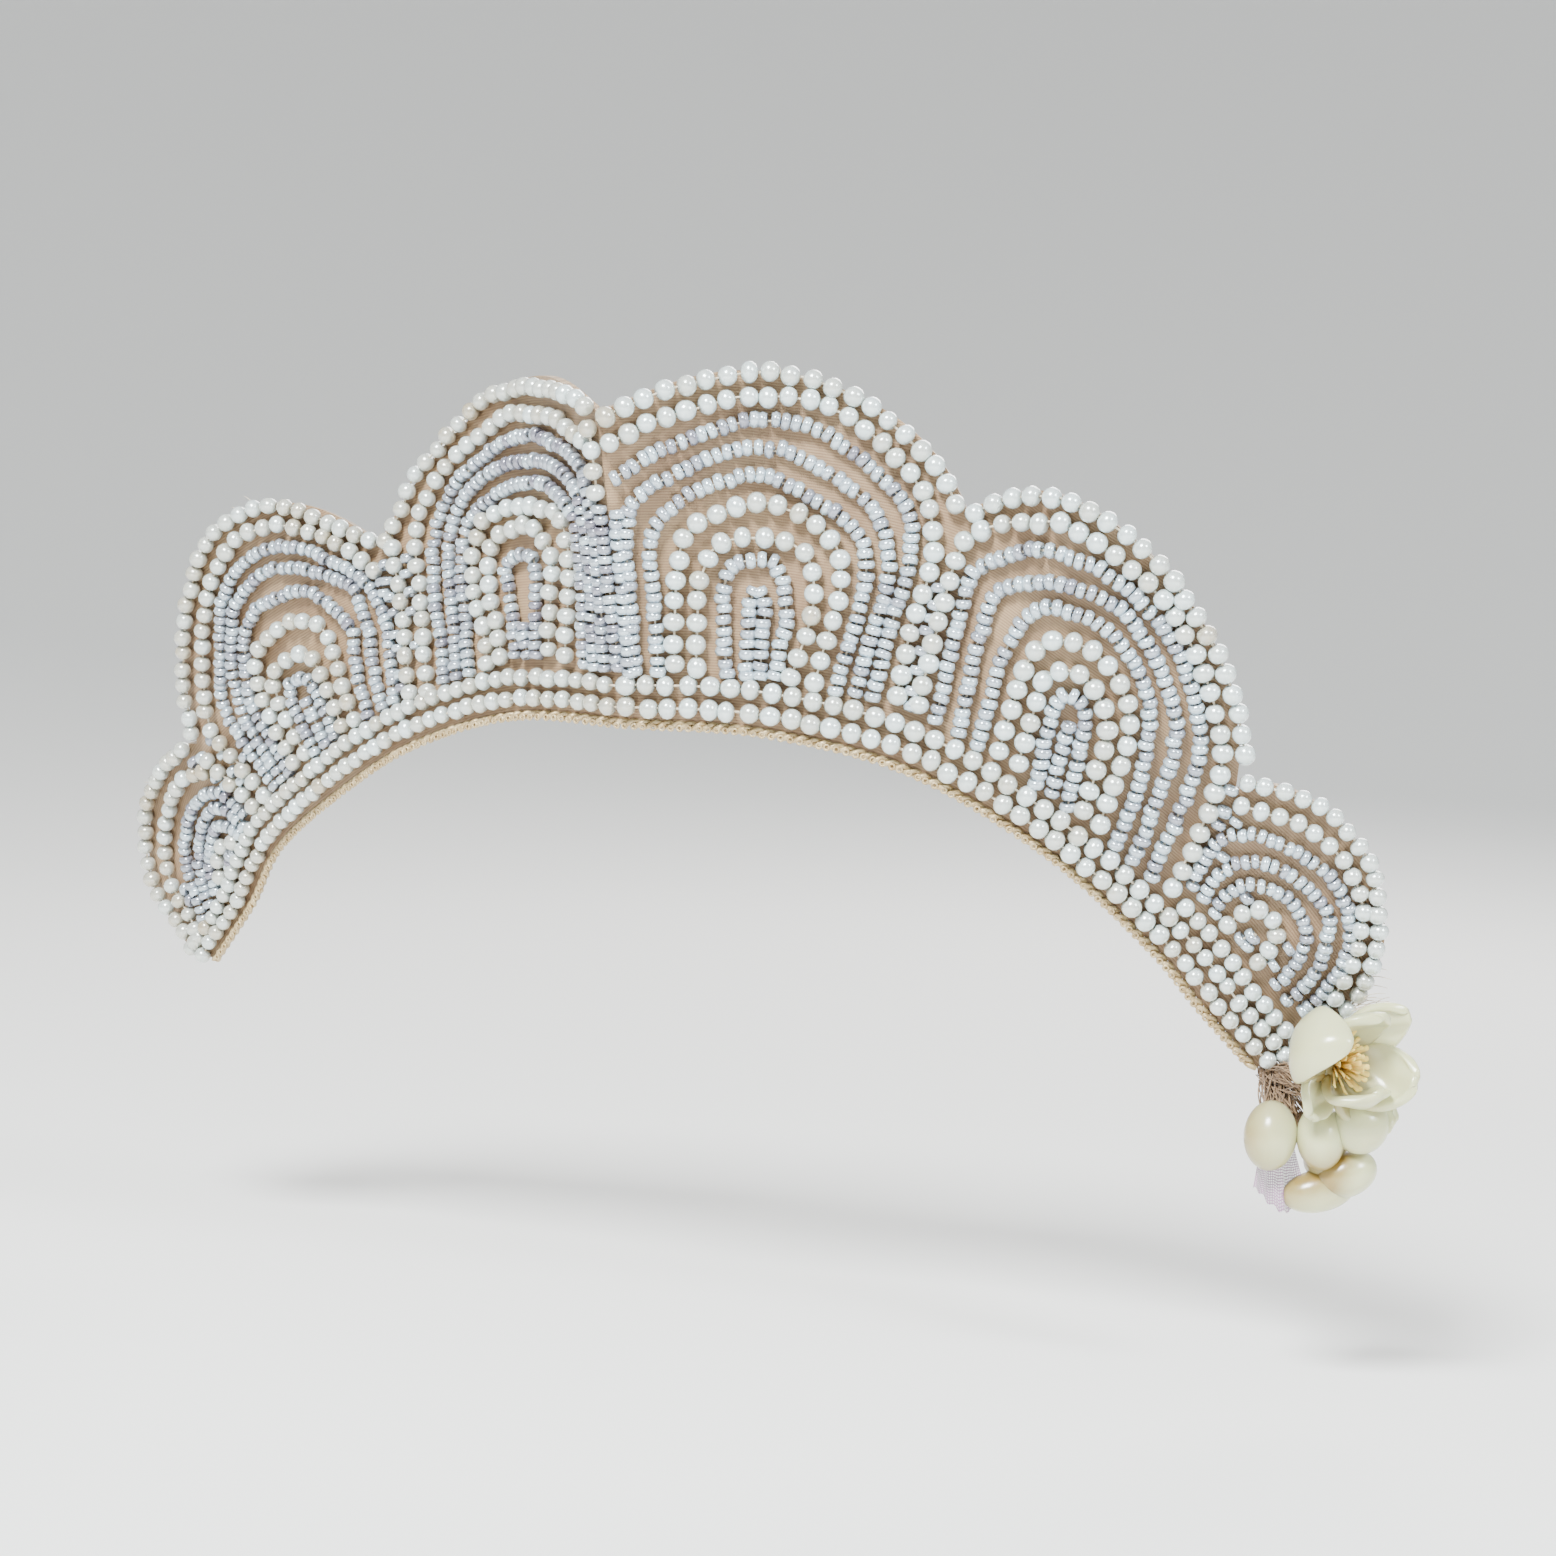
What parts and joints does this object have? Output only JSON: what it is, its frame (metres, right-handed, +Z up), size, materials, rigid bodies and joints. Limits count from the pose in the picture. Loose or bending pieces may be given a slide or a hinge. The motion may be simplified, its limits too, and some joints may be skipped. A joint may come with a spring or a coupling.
{
  "type": "beaded bridal crown",
  "caption": "Scalloped cloth headband covered with arched rows of pearl beads, with ivory wax flowers hanging at one end, shaped as worn.",
  "frame": {"origin": "middle of the band's lower edge at the front, where the crown sits on the head", "axes": "+Z up as worn, the front faces -Y, +X to the wearer's left"},
  "size_m": [0.2059, 0.0471, 0.1122],
  "materials": {
    "silk_cloth": "fine woven silk with a soft sheen",
    "gilt_cord": "twisted gilt cord",
    "pearl_beads": "pearl lustre glass beads",
    "ivory_wax": "soft waxy sheen",
    "yellow_stamens": "matt",
    "stem_thread": "wrapped thread",
    "mauve_tulle": "fine net"
  },
  "bodies": {
    "root": {"cloth_band": "silk_cloth", "lower_edge_cord": "gilt_cord", "lower_bead_rows": "pearl_beads", "bead_field_1": "pearl_beads", "bead_field_2": "pearl_beads", "bead_field_3": "pearl_beads", "bead_field_4": "pearl_beads", "bead_field_5": "pearl_beads", "bead_field_6": "pearl_beads", "wax_blossom": "ivory_wax", "wax_blossom_half_open": "ivory_wax", "wax_bud": "ivory_wax", "stamens": "yellow_stamens", "flower_stems": "stem_thread", "tulle_scrap": "mauve_tulle"}
  },
  "joints": []
}
